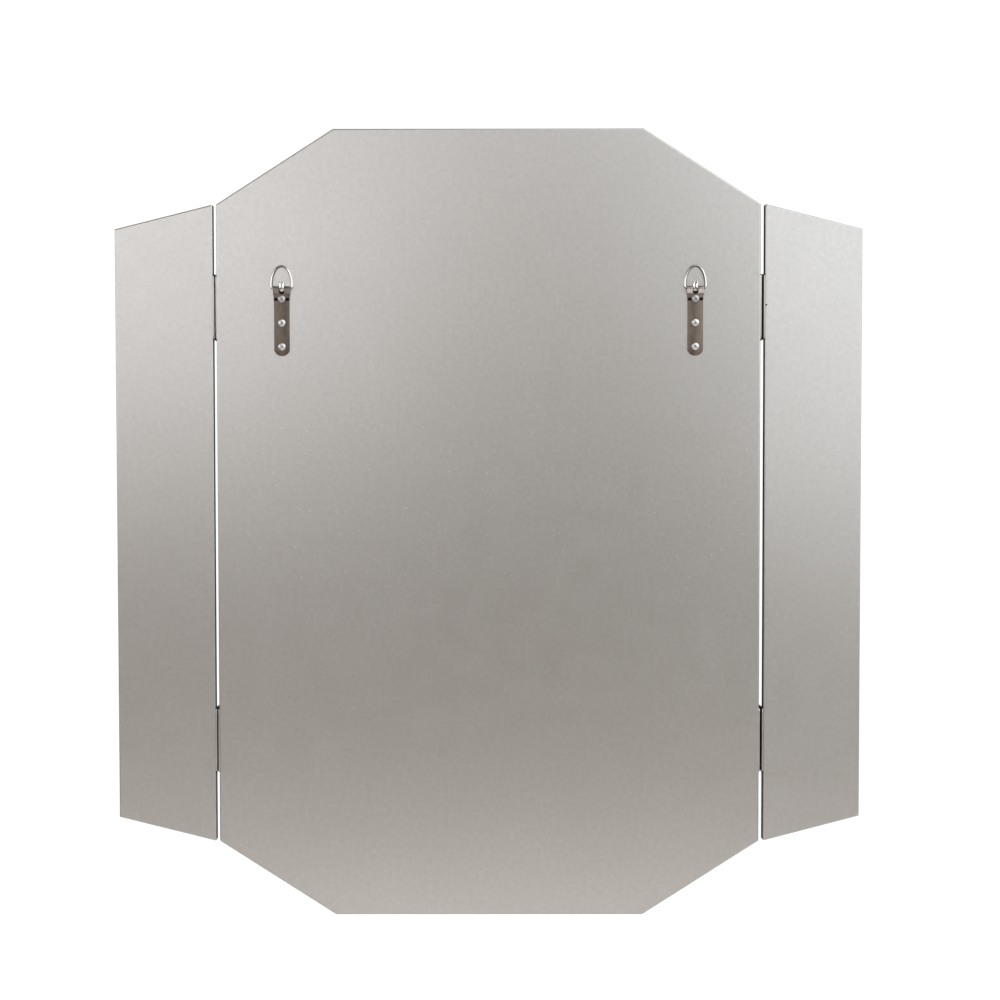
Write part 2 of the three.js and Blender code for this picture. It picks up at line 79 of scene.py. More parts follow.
# Hinges.
LEAF_THICKNESS = 1.6 * MM
LEAF_CORNER = 4 * MM
LEAF_ARRIS = 0.15 * MM
MORTISE_SEAM = 0.05 * MM
MORTISE_END_SEAM = 0.3 * MM
KNUCKLE_RADIUS = 2.45 * MM
KNUCKLE_COUNT = 5
KNUCKLE_ARRIS = 0.25 * MM
KNUCKLE_GAP = 0.3 * MM
CURL_SLIT = 0.25 * MM
PIN_RADIUS = 1 * MM
PIN_BORE = 1.3 * MM
PIN_CAP_RADIUS = 2 * MM
PIN_CAP_HEIGHT = 0.4 * MM

# Screws.
LEAF_SCREW_HEAD = 3 * MM
LEAF_SCREW_SHANK = 1.4 * MM
LEAF_SCREW_PROUD = 0.3 * MM
STRAP_SCREW_HEAD = 4.4 * MM
STRAP_SCREW_HEIGHT = 2.2 * MM
STRAP_SCREW_RIM = 0.6 * MM
STRAP_SCREW_SHANK = 1.75 * MM
STRAP_SCREW_SEAT = 0.23 * MM
SCREW_POINT = 3 * MM
RECESS_DEPTH = 1.3 * MM
RECESS_WIDTH_SHARE = 0.26

# Hanger straps and D-rings.
STRAP_GAUGE = 1 * MM
TONGUE_GAP = 0.06 * MM
STRAP_HALF_WIDTH = 8.9 * MM
LOOP_HALF_WIDTH = 9.8 * MM
STRAP_TAIL = 77.9 * MM
TAIL_SAGITTA = 6.2 * MM
FLARE_DROP = 12 * MM
TONGUE_DROP = 13.4 * MM
TONGUE_HALF_END = 9 * MM
TONGUE_FOOT_DROP = 6.2 * MM
TONGUE_LIP = 2.4 * MM
LIP_THINNING = 1.8
LOOP_RADIUS = 2.05 * MM
NOTCH_HALF_WIDTH = 3.3 * MM
NOTCH_DROP = 6.6 * MM
TAIL_NOTCH_DROP = 3.6 * MM
STRAP_ARRIS = 0.18 * MM
WIRE_RADIUS = 1.2 * MM
RING_HALF_WIDTH = 11.8 * MM
RING_SHOULDER = 4.7 * MM
RING_HEIGHT = 25.8 * MM
RING_CORNER = 2.6 * MM
RING_LEAN = math.radians(3)
PRONG_OFFSET = 1.7 * MM
PRONG_BEND = 1.6 * MM
PRONG_HEIGHT = 7.6 * MM
PRONG_SPLAY = 0.15 * MM

# Paint: a nick in the left wing next to its upper hinge, pits everywhere, and the heights on the
# centre board between which painted glints, pale specks and smaller ones, show.
CHIP_PLACE = (-0.3203, -0.0002, -0.0439)
CHIP_RADIUS = 0.95 * MM
PIT_SPACING = 60 * MM
PIT_RADIUS = 0.45 * MM
GLINT_BAND = (-0.36, -0.2)
GLINT_FADE = 0.09
GLINT_SPACING = 24 * MM
GLINT_RADIUS = 0.62 * MM
SMALL_GLINT_SPACING = 9 * MM
SMALL_GLINT_RADIUS = 0.4 * MM

# Smoothness: steps round or along each stretch, and sides of a turned piece and a wire.
CORNER_STEPS = 5
ROUNDING_STEPS = 8
DOME_STEPS = 12
CAP_STEPS = 6
TAIL_STEPS = 12
SHANK_STEPS = 8
FLARE_STEPS = 20
LOOP_STEPS = 22
SLOPE_STEPS = 12
TONGUE_STEPS = 6
LIP_STEPS = 5
PRONG_STEPS = 8
BAR_STEPS = 4
RING_CORNER_STEPS = 10
ARCH_STEPS = 48
LATHE_SIDES = 48
WIRE_SIDES = 20
SMOOTH_ANGLE = math.radians(32)


# --- Mesh code -----------------------------------------------------------------------------

class Shape:
    """Vertices and faces before they become a mesh."""

    def __init__(self, verts, faces):
        self.verts = [Vector(v) for v in verts]
        self.faces = [tuple(f) for f in faces]

    def moved(self, matrix):
        flipped = matrix.determinant() < 0
        faces = [f[::-1] for f in self.faces] if flipped else self.faces
        return Shape([matrix @ v for v in self.verts], faces)


def gathered(shapes):
    """Several shapes as one."""
    verts, faces = [], []
    for shape in shapes:
        start = len(verts)
        verts += shape.verts
        faces += [tuple(i + start for i in face) for face in shape.faces]
    return Shape(verts, faces)


def loft(rings):
    """A closed solid through rings with the same number of points, with a flat face at each end."""
    count = len(rings[0])
    verts = [point for ring in rings for point in ring]
    faces = [tuple(reversed(range(count)))]
    for level in range(len(rings) - 1):
        base = level * count
        for i in range(count):
            after = (i + 1) % count
            faces.append((base + i, base + after, base + count + after, base + count + i))
    top = (len(rings) - 1) * count
    faces.append(tuple(range(top, top + count)))
    return Shape(verts, faces)


def turned(profile, sides=LATHE_SIDES):
    """A solid turned about Z from (radius, height) pairs that begin and end on the axis."""
    first, *middle, last = profile
    verts = [(0, 0, first[1])]
    for radius, height in middle:
        for i in range(sides):
            angle = 2 * math.pi * i / sides
            verts.append((radius * math.cos(angle), radius * math.sin(angle), height))
    verts.append((0, 0, last[1]))
    end = len(verts) - 1
    faces = []
    for i in range(sides):
        after = (i + 1) % sides
        faces.append((0, 1 + after, 1 + i))
        for level in range(len(middle) - 1):
            a = 1 + level * sides
            b = a + sides
            faces.append((a + i, a + after, b + after, b + i))
        a = 1 + (len(middle) - 1) * sides
        faces.append((a + i, a + after, end))
    return Shape(verts, faces)


def arc(centre, radii, start, end, steps):
    """Points on an arc or an ellipse's arc in a plane."""
    points = []
    for i in range(steps + 1):
        angle = start + (end - start) * i / steps
        points.append((centre[0] + radii[0] * math.cos(angle), centre[1] + radii[1] * math.sin(angle)))
    return points


def box_shape(low, high):
    rings = []
    for z in (low[2], high[2]):
        near = [(low[0], low[1], z), (high[0], low[1], z)]
        far = [(high[0], high[1], z), (low[0], high[1], z)]
        rings.append(near + far)
    return loft(rings)


def new_object(name, shape):
    mesh = bpy.data.meshes.new(name)
    mesh.from_pydata(shape.verts, [], shape.faces)
    thing = bpy.data.objects.new(name, mesh)
    bpy.context.scene.collection.objects.link(thing)
    return thing


def settle(thing):
    """Turns an object's modifiers into its mesh and drops slivers."""
    bpy.context.view_layer.update()
    evaluated = thing.evaluated_get(bpy.context.evaluated_depsgraph_get())
    mesh = bpy.data.meshes.new_from_object(evaluated)
    thing.modifiers.clear()
    thing.data = mesh
    tidy_mesh(mesh)


def tidy_mesh(mesh, merge=1e-7):
    made = bmesh.new()
    made.from_mesh(mesh)
    bmesh.ops.remove_doubles(made, verts=made.verts, dist=merge)
    bmesh.ops.dissolve_degenerate(made, edges=made.edges, dist=merge)
    bmesh.ops.recalc_face_normals(made, faces=made.faces)
    made.to_mesh(mesh)
    made.free()


def shape_of(thing):
    """An object's mesh as a shape. The object itself goes."""
    made = Shape([v.co for v in thing.data.vertices], [p.vertices for p in thing.data.polygons])
    bpy.data.objects.remove(thing)
    return made


def combined(name, start, operation, *others):
    """A shape joined with, or cut by, others."""
    thing = new_object(name, start)
    tools = [new_object(f"{name}_tool", other) for other in others]
    for tool in tools:
        modifier = thing.modifiers.new("combine", "BOOLEAN")
        modifier.operation = operation
        modifier.solver = "EXACT"
        modifier.object = tool
    settle(thing)
    for tool in tools:
        bpy.data.objects.remove(tool)
    return shape_of(thing)


def softened(name, shape, width, segments=2, angle=math.radians(40)):
    """A shape with its sharp edges rounded over."""
    thing = new_object(name, shape)
    tidy_mesh(thing.data)
    modifier = thing.modifiers.new("arris", "BEVEL")
    modifier.width = width
    modifier.segments = segments
    modifier.limit_method = "ANGLE"
    modifier.angle_limit = angle
    settle(thing)
    return shape_of(thing)


def make_piece(node, shape, materials, place=Matrix.Identity(4), smooth=True, choose=None):
    """A finished piece that stands for a CAD node and rides on that node's body."""
    cad = frame["nodes"][node]
    thing = new_object(f"{node}_fine", shape)
    tidy_mesh(thing.data)
    for material in materials:
        thing.data.materials.append(material)
    if choose:
        for face in thing.data.polygons:
            face.material_index = choose(face)
    if smooth:
        thing.data.shade_smooth()
        thing.data.set_sharp_from_angle(angle=SMOOTH_ANGLE)
    thing.matrix_world = place
    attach(thing, cad["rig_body"])
    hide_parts(node)
    return thing


JOINTS = {joint["name"]: joint for joint in frame["joints"]}


# --- Materials -----------------------------------------------------------------------------

class Surface:
    """A node material under construction, patterned in the piece's own coordinates."""

    def __init__(self, name, **sockets):
        self.material = bpy.data.materials.new(name)
        self.material.use_nodes = True
        self.nodes = self.material.node_tree.nodes
        self.links = self.material.node_tree.links
        self.shader = self.nodes["Principled BSDF"]
        for socket, value in sockets.items():
            self.shader.inputs[socket.replace("_", " ")].default_value = value
        self.place = self.nodes.new("ShaderNodeTexCoord").outputs["Object"]

    def stretched(self, scale):
        mapping = self.nodes.new("ShaderNodeMapping")
        mapping.inputs["Scale"].default_value = scale
        self.links.new(self.place, mapping.inputs["Vector"])
        return mapping.outputs["Vector"]

    def noise(self, size, detail=3.0, roughness=0.5, stretch=(1, 1, 1)):
        """Cloudy noise whose lumps are about that many metres across."""
        texture = self.nodes.new("ShaderNodeTexNoise")
        texture.inputs["Scale"].default_value = 1 / size
        texture.inputs["Detail"].default_value = detail
        texture.inputs["Roughness"].default_value = roughness
        self.links.new(self.stretched(stretch), texture.inputs["Vector"])
        return texture.outputs["Fac"]

    def specks(self, spacing, radius, share):
        """A mask of round specks scattered over the panel's plane, in that share of its cells."""
        flat = self.nodes.new("ShaderNodeCombineXYZ")
        self.links.new(self.depth("X"), flat.inputs["X"])
        self.links.new(self.depth("Z"), flat.inputs["Y"])
        texture = self.nodes.new("ShaderNodeTexVoronoi")
        texture.voronoi_dimensions = "2D"
        texture.inputs["Scale"].default_value = 1 / spacing
        self.links.new(flat.outputs["Vector"], texture.inputs["Vector"])
        spot = self.ranged(texture.outputs["Distance"], 1.2 * radius / spacing, 0.8 * radius / spacing)
        chosen = self.math("LESS_THAN", texture.outputs["Color"], share)
        return self.both(spot, chosen)

    def depth(self, axis):
        """The coordinate along an axis."""
        split = self.nodes.new("ShaderNodeSeparateXYZ")
        self.links.new(self.place, split.inputs[0])
        return split.outputs[axis]

    def ragged(self, axis, size, detail, swing):
        """The coordinate along an axis, pushed up to the swing either way by noise."""
        push = self.ranged(self.noise(size, detail), 0, 1, -swing, swing)
        return self.math("ADD", self.depth(axis), push)

    def reach(self, point):
        """The distance from a point."""
        node = self.nodes.new("ShaderNodeVectorMath")
        node.operation = "DISTANCE"
        self.links.new(self.place, node.inputs[0])
        node.inputs[1].default_value = point
        return node.outputs["Value"]

    def facing(self, point):
        """The cosine between the surface's normal and the direction away from a point."""
        away = self.nodes.new("ShaderNodeVectorMath")
        away.operation = "SUBTRACT"
        self.links.new(self.place, away.inputs[0])
        away.inputs[1].default_value = point
        direction = self.nodes.new("ShaderNodeVectorMath")
        direction.operation = "NORMALIZE"
        self.links.new(away.outputs["Vector"], direction.inputs[0])
        cosine = self.nodes.new("ShaderNodeVectorMath")
        cosine.operation = "DOT_PRODUCT"
        self.links.new(direction.outputs["Vector"], cosine.inputs[0])
        self.links.new(self.nodes.new("ShaderNodeTexCoord").outputs["Normal"], cosine.inputs[1])
        return cosine.outputs["Value"]

    def math(self, operation, first, second):
        node = self.nodes.new("ShaderNodeMath")
        node.operation = operation
        for socket, value in zip(node.inputs, (first, second)):
            if isinstance(value, (int, float)):
                socket.default_value = value
            else:
                self.links.new(value, socket)
        return node.outputs[0]

    def both(self, first, second):
        """The mask of where two masks meet."""
        return self.math("MULTIPLY", first, second)

    def ranged(self, value, from_low, from_high, to_low=0.0, to_high=1.0):
        node = self.nodes.new("ShaderNodeMapRange")
        for socket, number in zip(node.inputs[1:5], (from_low, from_high, to_low, to_high)):
            socket.default_value = number
        self.links.new(value, node.inputs[0])
        return node.outputs[0]

    def mix(self, factor, first, second):
        node = self.nodes.new("ShaderNodeMix")
        node.data_type = "RGBA"
        self.links.new(factor, node.inputs["Factor"])
        for index, value in ((6, first), (7, second)):
            if isinstance(value, tuple):
                node.inputs[index].default_value = (*value, 1)
            else:
                self.links.new(value, node.inputs[index])
        return node.outputs[2]

    def bump(self, height, distance, onto=None):
        node = self.nodes.new("ShaderNodeBump")
        node.inputs["Distance"].default_value = distance
        self.links.new(height, node.inputs["Height"])
        if onto:
            self.links.new(onto, node.inputs["Normal"])
        return node.outputs["Normal"]

    def set(self, socket, value):
        self.links.new(value, self.shader.inputs[socket])


def silver_paint(name, chip=None, painted_glints=False):
    """Metallic champagne lacquer with an orange-peel skin and a few pits, which thins out to black
    at the board's edge. It may have painted glints, pale specks in a band of heights, and a chip at a place
    of the piece's own."""
    surface = Surface(name, Specular_IOR_Level=0.15)
    colour = surface.mix(surface.noise(0.16, 3), (0.615, 0.611, 0.604), (0.680, 0.676, 0.668))
    mottle = surface.ranged(surface.noise(6 * MM, 4, 0.75), 0.3, 0.7, 0.0, 0.62)
    colour = surface.mix(mottle, colour, (0.50, 0.497, 0.492))
    grain = surface.ranged(surface.noise(1.6 * MM, 2, 0.7), 0.3, 0.7, 0.0, 0.55)
    colour = surface.mix(grain, colour, (0.52, 0.516, 0.508))
    if painted_glints:
        # Painted glints: pale specks of two sizes, only in a band of heights on the centre board.
        height = surface.depth("Z")
        rising = surface.ranged(height, GLINT_BAND[0] - GLINT_FADE, GLINT_BAND[0])
        falling = surface.ranged(height, GLINT_BAND[1] + GLINT_FADE, GLINT_BAND[1])
        band = surface.both(rising, falling)
        glint = surface.both(surface.specks(GLINT_SPACING, GLINT_RADIUS, 0.5), band)
        colour = surface.mix(glint, colour, (0.86, 0.85, 0.82))
        small_glint = surface.both(surface.specks(SMALL_GLINT_SPACING, SMALL_GLINT_RADIUS, 0.5), band)
        colour = surface.mix(small_glint, colour, (0.74, 0.735, 0.72))
    colour = surface.mix(surface.specks(PIT_SPACING, PIT_RADIUS, 0.3), colour, (0.3, 0.29, 0.27))
    if chip:
        nick = surface.ranged(surface.reach(chip), CHIP_RADIUS * 1.3, CHIP_RADIUS)
        colour = surface.mix(nick, colour, (0.02, 0.018, 0.016))
    uneven_back = surface.ragged("Y", 5 * MM, 4, 0.4 * MM)
    black = surface.ranged(uneven_back, 0.2 * MM - BACK_ROUNDING, -0.6 * MM - BACK_ROUNDING)
    colour = surface.mix(black, colour, (0.018, 0.017, 0.016))
    surface.set("Base Color", colour)
    surface.set("Metallic", surface.ranged(black, 0, 1, 0.85, 0.0))
    gloss = surface.ranged(surface.noise(30 * MM, 3), 0.2, 0.8, 0.3, 0.33)
    surface.set("Roughness", surface.math("ADD", gloss, surface.ranged(black, 0, 1, 0.0, 0.35)))
    peel = surface.bump(surface.noise(2.6 * MM, 2, 0.55), 0.035 * MM)
    surface.set("Normal", surface.bump(surface.noise(0.9 * MM, 2, 0.6), 0.008 * MM, peel))
    return surface.material


def bond_sheet():
    surface = Surface("bond_sheet", Roughness=0.9)
    surface.set("Base Color", surface.mix(surface.noise(4 * MM, 4), (0.23, 0.22, 0.21), (0.34, 0.33, 0.31)))
    surface.set("Normal", surface.bump(surface.noise(1.2 * MM, 3), 0.1 * MM))
    return surface.material


def mirror_front():
    surface = Surface("mirror_front", Metallic=1.0)
    surface.set("Base Color", surface.mix(surface.noise(0.3, 2), (0.86, 0.89, 0.885), (0.90, 0.925, 0.92)))
    surface.set("Roughness", surface.ranged(surface.noise(0.05, 4), 0.3, 0.8, 0.008, 0.03))
    return surface.material


def glass_edge():
    surface = Surface("glass_edge", Roughness=0.12, IOR=1.52)
    lumps = surface.noise(6 * MM, 3)
    surface.set("Base Color", surface.mix(lumps, (0.035, 0.085, 0.07), (0.09, 0.17, 0.145)))
    surface.set("Normal", surface.bump(surface.noise(2 * MM, 3, stretch=(1, 0.2, 1)), 0.02 * MM))
    return surface.material


def glass_back():
    surface = Surface("glass_back", Roughness=0.6)
    clouds = surface.noise(20 * MM, 4)
    surface.set("Base Color", surface.mix(clouds, (0.16, 0.17, 0.18), (0.21, 0.22, 0.23)))
    return surface.material


def metal(name, dark, light, roughness, lump, scratch, bump_height, recess_mouth=None):
    """Plated steel with faint scratches along Z and a slightly uneven skin. A screw's may have
    painted shade: darker in the recess below the height of its mouth."""
    surface = Surface(name, Metallic=1.0)
    scratches = surface.noise(scratch, 3, 0.6, stretch=(1, 1, 0.08))
    lumps = surface.noise(lump, 3)
    tone = surface.both(surface.ranged(scratches, 0.3, 0.7), surface.ranged(lumps, 0.2, 0.8))
    colour = surface.mix(tone, dark, light)
    if recess_mouth:
        # Painted shade: darker inside the recess, below its mouth.
        near = surface.ranged(surface.reach((0, 0, recess_mouth)), 2.7 * MM, 2.4 * MM)
        deep = surface.ranged(surface.depth("Z"), recess_mouth - 0.35 * MM, recess_mouth - 0.6 * MM)
        colour = surface.mix(surface.both(near, deep), colour, (0.36, 0.355, 0.345))
    surface.set("Base Color", colour)
    surface.set("Roughness", surface.ranged(lumps, 0.25, 0.75, *roughness))
    surface.set("Normal", surface.bump(scratches, bump_height))
    return surface.material


def sprayed_leaf():
    """Antique nickel whose back end has caught the boards' silver paint."""
    surface = Surface("hinge_leaf", Metallic=1.0)
    lumps = surface.noise(6 * MM, 3)
    metal_colour = surface.mix(lumps, (0.085, 0.071, 0.060), (0.16, 0.138, 0.12))
    leaf_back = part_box("right_upper_hinge_centre_leaf")[1].y - JOINTS["right_wing_fold"]["pos_m"][1]
    paint = surface.ranged(surface.ragged("Y", 2 * MM, 3, MM), leaf_back - 2.2 * MM, leaf_back - 0.8 * MM)
    surface.set("Base Color", surface.mix(paint, metal_colour, (0.60, 0.57, 0.55)))
    surface.set("Roughness", surface.ranged(lumps, 0.25, 0.75, 0.3, 0.42))
    surface.set("Normal", surface.bump(surface.noise(0.5 * MM, 3, 0.6, stretch=(1, 1, 0.08)), 0.01 * MM))
    return surface.material


def strap_metal(name, share, loop_highlight_strength):
    """Dark nickel with a painted highlight, paler on the front of the loops, painted shade on the
    tail seen through the notch, and a painted shadow under the tongue's end.
    """
    surface = Surface(name, Metallic=1.0)
    scratches = surface.noise(0.5 * MM, 3, 0.6, stretch=(1, 1, 0.08))
    lumps = surface.noise(7 * MM, 3)
    dark = tuple(share * level for level in (0.125, 0.103, 0.087))
    light = tuple(share * level for level in (0.19, 0.158, 0.134))
    colour = surface.mix(surface.ranged(lumps, 0.25, 0.75), dark, light)
    colour = surface.mix(surface.ranged(scratches, 0.35, 0.7, 0.0, 0.5), colour, (0.22, 0.19, 0.165))
    height = surface.depth("Z")
    proud = surface.ranged(surface.depth("Y"), 1.6 * MM, 2.1 * MM)
    # Painted highlight: the front of the loops is made paler and pinkish, more on the left strap than the
    # right.
    slope = surface.ranged(height, -6.5 * MM, -5 * MM, 0.0, loop_highlight_strength)
    crown = surface.ranged(height, -1.5 * MM, 0.0, 1.0, 0.2)
    painted_loop_highlight = surface.both(surface.both(slope, crown), proud)
    colour = surface.mix(painted_loop_highlight, colour, (0.86, 0.77, 0.72))
    # Painted shade: the tail behind the notch is made near black.
    painted_notch_shade = surface.both(surface.ranged(height, -8 * MM, -7 * MM), surface.ranged(proud, 1, 0))
    colour = surface.mix(painted_notch_shade, colour, (0.015, 0.012, 0.010))
    # Painted shadow: a near-black band across the tongue's lip and the tail just under it.
    below = surface.ranged(height, -TONGUE_DROP - 1.3 * MM, -TONGUE_DROP - 0.3 * MM)
    above = surface.ranged(height, -TONGUE_DROP + 3.2 * MM, -TONGUE_DROP + 1.8 * MM)
    painted_shade = surface.both(below, above)
    surface.set("Base Color", surface.mix(painted_shade, colour, (0.012, 0.010, 0.009)))
    surface.set("Roughness", surface.ranged(lumps, 0.25, 0.75, 0.32, 0.42))
    surface.set("Normal", surface.bump(scratches, 0.012 * MM))
    return surface.material


def ring_wire():
    """Bright nickel wire with painted dark reflections at the top of the arch and on its inner flank,
    and painted shade round the bar.
    """
    surface = Surface("ring_wire", Metallic=1.0)
    lumps = surface.noise(4 * MM, 3)
    colour = surface.mix(lumps, (0.80, 0.795, 0.79), (0.9, 0.895, 0.89))
    height = surface.ragged("Z", 2 * MM, 3, MM)
    # Painted dark reflection: the top of the arch is darkened.
    painted_dark_arch_top = surface.ranged(height, RING_HEIGHT - 4.5 * MM, RING_HEIGHT - 2 * MM, 0.0, 0.85)
    colour = surface.mix(painted_dark_arch_top, colour, (0.30, 0.295, 0.285))
    # Painted dark reflection: the flank facing the ring's middle is darkened.
    painted_dark_inner_flank = surface.ranged(surface.facing((0, 0, RING_HEIGHT / 3)), -0.05, -0.3, 0.0, 0.9)
    colour = surface.mix(painted_dark_inner_flank, colour, (0.07, 0.065, 0.06))
    # Painted shade: the wire is darkened round the bar, where it runs into the strap's loops.
    painted_shade = surface.ranged(height, 0.7 * MM, -0.5 * MM)
    colour = surface.mix(painted_shade, colour, (0.10, 0.085, 0.075))
    surface.set("Base Color", colour)
    surface.set("Roughness", surface.ranged(lumps, 0.25, 0.75, 0.08, 0.13))
    surface.set("Normal", surface.bump(surface.noise(0.4 * MM, 3, 0.6), 0.001 * MM))
    return surface.material


# --- Panels --------------------------------------------------------------------------------

def left_of(direction):
    """The direction a quarter turn counter-clockwise, in the plane of X and Z."""
    return Vector((-direction.y, direction.x))


def rounded_ring(corners, inset):
    """A counter-clockwise outline moved inwards, with every corner turned into an arc."""
    ring = []
    count = len(corners)
    for i, corner in enumerate(corners):
        arriving = (corner - corners[i - 1]).normalized()
        leaving = (corners[(i + 1) % count] - corner).normalized()
        turn = math.atan2(arriving.cross(leaving), arriving.dot(leaving))
        moved = corner + (left_of(arriving) + left_of(leaving)) * inset / (1 + arriving.dot(leaving))
        start = moved - arriving * PLAN_ROUNDING * math.tan(turn / 2)
        centre = start + left_of(arriving) * PLAN_ROUNDING
        for step in range(CORNER_STEPS + 1):
            angle = turn * step / CORNER_STEPS
            ring.append(centre + Matrix.Rotation(angle, 2) @ (start - centre))
    return ring


def slab(corners, section):
    """A slab of an outline; the section lists (inset, y) from the back face to the front face."""
    rings = []
    for inset, y in section:
        rings.append([(point.x, y, point.y) for point in rounded_ring(corners, inset)])
    return loft(rings)


def centre_corners():
    low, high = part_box("centre_board")
    half_top = CENTRE_TOP_WIDTH / 2
    points = [
        (-half_top, low.z), (half_top, low.z),
        (high.x, low.z + CORNER_DROP), (high.x, high.z - CORNER_DROP),
        (half_top, high.z), (-half_top, high.z),
        (low.x, high.z - CORNER_DROP), (low.x, low.z + CORNER_DROP),
    ]
    return [Vector(point) for point in points]


def wing_corners(side):
    """A wing's outline as it lies flat. The frame's right wing lies flat at rest."""
    low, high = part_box("right_wing_board")
    points = [
        (low.x, low.z), (high.x, low.z + WING_DROP), (high.x, high.z - WING_DROP), (low.x, high.z),
    ]
    corners = [Vector((side * x, z)) for x, z in points]
    return corners if side > 0 else corners[::-1]


def board_section():
    low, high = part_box("centre_board")
    section = [(BACK_ROUNDING * 1.5, high.y), (BACK_ROUNDING * 1.02, high.y)]
    for inset, y in arc((BACK_ROUNDING, high.y - BACK_ROUNDING), (BACK_ROUNDING,) * 2,
                        math.pi / 2, math.pi, ROUNDING_STEPS):
        section.append((inset, y))
    section.append((0, low.y + FRONT_ARRIS))
    section.append((FRONT_ARRIS, low.y))
    return section


def glass_section():
    low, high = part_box("centre_mirror")
    edge_front = low.y + GLASS_BEVEL_DEPTH
    return [
        (GLASS_INSET + GLASS_ARRIS, high.y), (GLASS_INSET, high.y - GLASS_ARRIS),
        (GLASS_INSET, edge_front + GLASS_ARRIS), (GLASS_INSET + GLASS_ARRIS, edge_front),
        (GLASS_INSET + GLASS_BEVEL_WIDTH, low.y),
    ]


def glass_face(face):
    """0 for the mirrored front and bevel, 1 for the edge, 2 for the painted back."""
    if face.normal.y > 0.9:
        return 2
    return 0 if face.normal.y < -0.9 else 1


def mortises(side, which):
    """Boxes that let both hinges' leaves into a panel's edge, read from the frame's flat wing."""
    axis_x = JOINTS["right_wing_fold"]["pos_m"][0]
    boxes = []
    for level in ("upper", "lower"):
        low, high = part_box(f"right_{level}_hinge_{which}_leaf")
        floor = low.x - MORTISE_SEAM if which == "centre" else high.x + MORTISE_SEAM
        near, far = sorted((side * floor, side * axis_x))
        boxes.append(box_shape((near, low.y, low.z - MORTISE_END_SEAM),
                               (far, LEAF_CORNER, high.z + MORTISE_END_SEAM)))
    return boxes


def make_panel(name, corners, cuts, place, paint):
    board = combined("board", slab(corners, board_section()), "DIFFERENCE", gathered(cuts))
    make_piece(f"{name}_board", board, [paint], place)
    make_piece(f"{name}_mirror", slab(corners, glass_section()), [GLASS_FRONT, GLASS_EDGE, GLASS_BACK],
               place, smooth=False, choose=glass_face)
    bond = frame["nodes"][f"{name}_bond"]
    bond.data.materials.clear()
    bond.data.materials.append(BOND)


# --- Hinges --------------------------------------------------------------------------------

def leaf_shape(side, first_knuckle):
    """A leaf about its pin's axis, on the side of the pin that X * side says."""
    low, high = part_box("right_upper_hinge_centre_leaf")
    half = (high.z - low.z) / 2
    back = high.y - JOINTS["right_wing_fold"]["pos_m"][1]
    pitch = 2 * half / KNUCKLE_COUNT
    quarter = math.pi / 2
    corner_y = back - LEAF_CORNER
    radii = (LEAF_CORNER, LEAF_CORNER)
    outline = [(0, -half)]
    outline += arc((corner_y, LEAF_CORNER - half), radii, -quarter, 0, ROUNDING_STEPS)
    outline += arc((corner_y, half - LEAF_CORNER), radii, 0, quarter, ROUNDING_STEPS)
    outline.append((0, half))
    faces_x = sorted((side * (KNUCKLE_RADIUS - LEAF_THICKNESS), side * KNUCKLE_RADIUS))
    plate = loft([[(x, y, z) for y, z in outline] for x in faces_x])
    plate = softened("plate", plate, LEAF_ARRIS)
    knuckles, gaps = [], []
    for i in range(KNUCKLE_COUNT):
        top = half - i * pitch
        bottom = top - pitch
        if i % 2 == first_knuckle:
            knuckles.append(knuckle_shape(bottom + KNUCKLE_GAP / 2, top - KNUCKLE_GAP / 2))
        else:
            relief = KNUCKLE_RADIUS + KNUCKLE_GAP
            gaps.append(box_shape((-relief, -relief, bottom - KNUCKLE_GAP / 2),
                                  (relief, relief, top + KNUCKLE_GAP / 2)))
    inner = side * (KNUCKLE_RADIUS - LEAF_THICKNESS)
    slit_x = sorted((inner - side * LEAF_THICKNESS, inner + side * CURL_SLIT))
    slit = box_shape((slit_x[0], KNUCKLE_RADIUS - CURL_SLIT, -half), (slit_x[1], KNUCKLE_RADIUS, half))
    bore = turned([(0, -half - LEAF_CORNER), (PIN_BORE, -half - LEAF_CORNER),
                   (PIN_BORE, half + LEAF_CORNER), (0, half + LEAF_CORNER)], WIRE_SIDES)
    holes = []
    for x, y, z in leaf_screw_places(side, first_knuckle):
        hole = turned([
            (0, -KNUCKLE_RADIUS), (LEAF_SCREW_SHANK + KNUCKLE_GAP, -KNUCKLE_RADIUS),
            (LEAF_SCREW_SHANK + KNUCKLE_GAP, LEAF_SCREW_SHANK - LEAF_SCREW_HEAD),
            (LEAF_SCREW_HEAD + KNUCKLE_GAP / 2, KNUCKLE_GAP / 2),
            (LEAF_SCREW_HEAD + KNUCKLE_GAP / 2, LEAF_CORNER), (0, LEAF_CORNER),
        ], LATHE_SIDES)
        aim = Matrix.Rotation(-side * quarter, 4, "Y")
        holes.append(hole.moved(Matrix.Translation((inner, y, z)) @ aim))
    whole = combined("leaf", plate, "UNION", gathered(knuckles))
    return combined("leaf", whole, "DIFFERENCE", gathered(gaps), slit, bore, gathered(holes))


def knuckle_shape(bottom, top):
    return turned([
        (0, bottom), (KNUCKLE_RADIUS - KNUCKLE_ARRIS, bottom), (KNUCKLE_RADIUS, bottom + KNUCKLE_ARRIS),
        (KNUCKLE_RADIUS, top - KNUCKLE_ARRIS), (KNUCKLE_RADIUS - KNUCKLE_ARRIS, top), (0, top),
    ])


